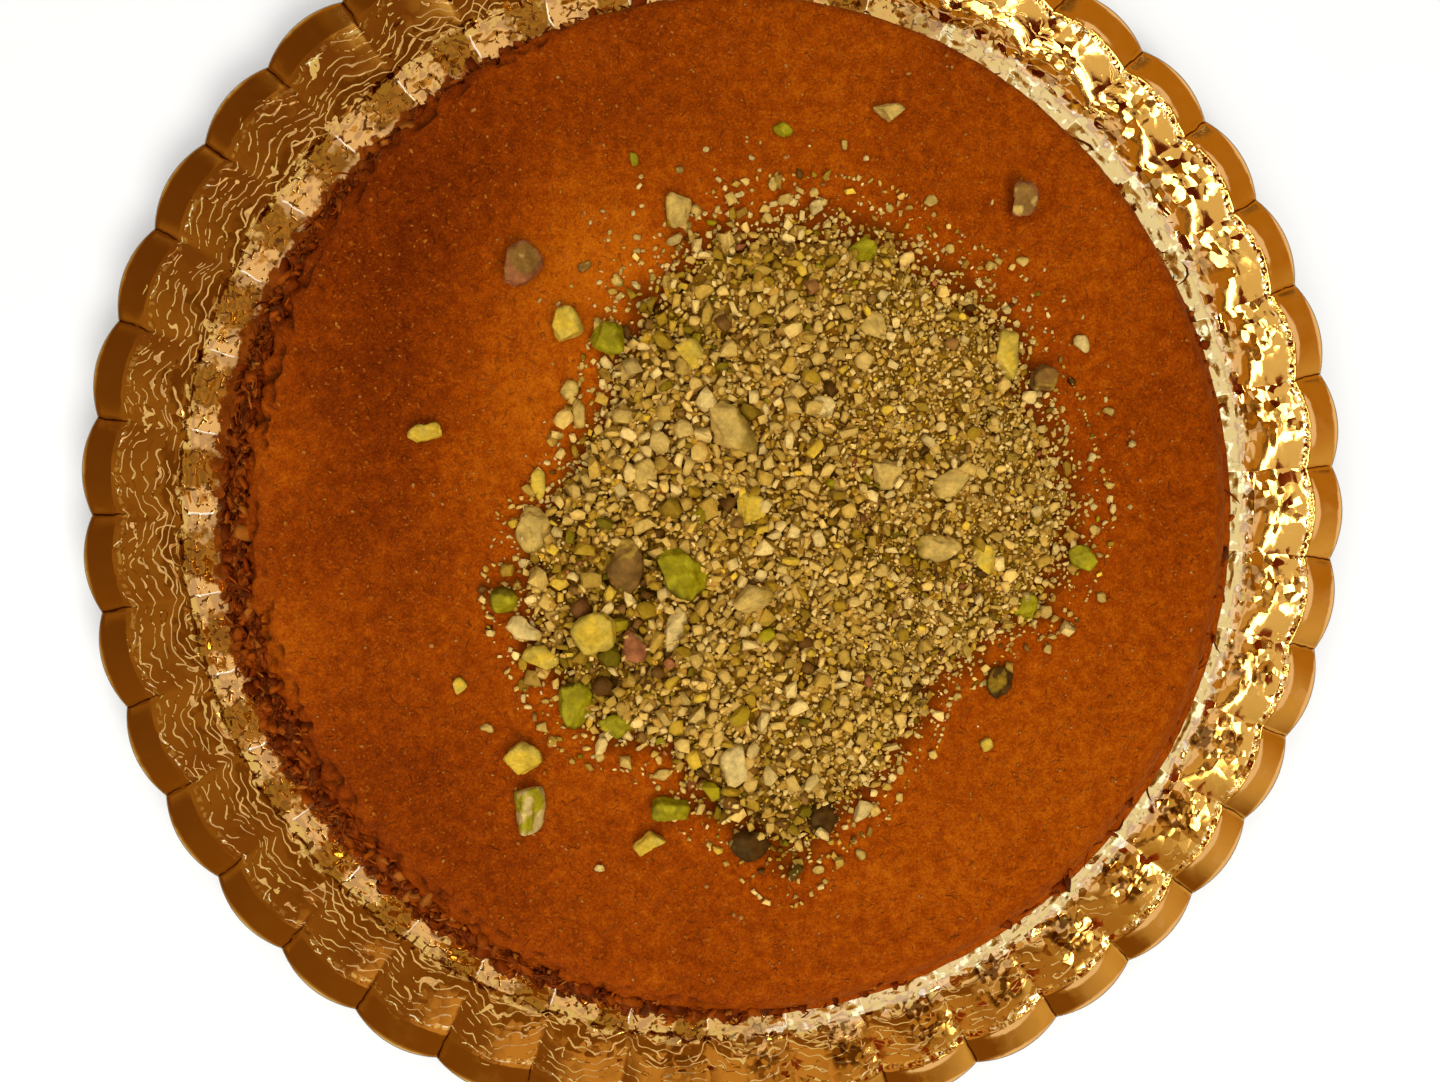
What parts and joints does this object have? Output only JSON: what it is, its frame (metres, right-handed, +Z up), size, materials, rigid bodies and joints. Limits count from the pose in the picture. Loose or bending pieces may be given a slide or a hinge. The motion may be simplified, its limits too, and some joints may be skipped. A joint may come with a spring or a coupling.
{
  "type": "cheese kunafa",
  "caption": "Round cheese kunafa with an orange-brown crust and a heap of chopped pistachio, in its round gold foil tray with a scalloped, fluted rim.",
  "frame": {"origin": "middle of the tray's underside, on the surface the tray stands on", "axes": "+Z up out of the table, +X to the right and +Y to the far side as the object is looked down on; the heap lies a little to the right of the middle"},
  "size_m": [0.3156, 0.3158, 0.028],
  "materials": {
    "gold_foil": "card laminated with shiny embossed gold film",
    "crust": "baked semolina crust, orange-brown, slightly moist with syrup",
    "pistachio_crumbs": "finely chopped pistachio, khaki and olive",
    "pistachio_pale": "pale cut kernel",
    "pistachio_yellow": "yellow-green kernel",
    "pistachio_green": "olive-green kernel",
    "pistachio_skin": "kernel with its purple-brown skin"
  },
  "bodies": {
    "root": {"tray": "gold_foil", "kunafa": "crust", "pistachio_heap": "pistachio_crumbs", "pistachio_skinned_left": "pistachio_skin", "pistachio_slab_top": "pistachio_pale", "pistachio_twin_top": "pistachio_pale", "pistachio_skinned_right": "pistachio_skin", "pistachio_yellow_left": "pistachio_yellow", "pistachio_olive_left": "pistachio_green", "pistachio_yellow_far_left": "pistachio_yellow", "pistachio_green_left": "pistachio_green", "pistachio_wedge_lower_left": "pistachio_yellow", "pistachio_block_lower_left": "pistachio_green", "pistachio_green_bottom": "pistachio_green", "pistachio_yellow_bottom": "pistachio_yellow", "pistachio_brown_right": "pistachio_skin", "pistachio_dark_right": "pistachio_skin", "pistachio_cream_left": "pistachio_pale", "pistachio_green_right": "pistachio_green"}
  },
  "joints": []
}
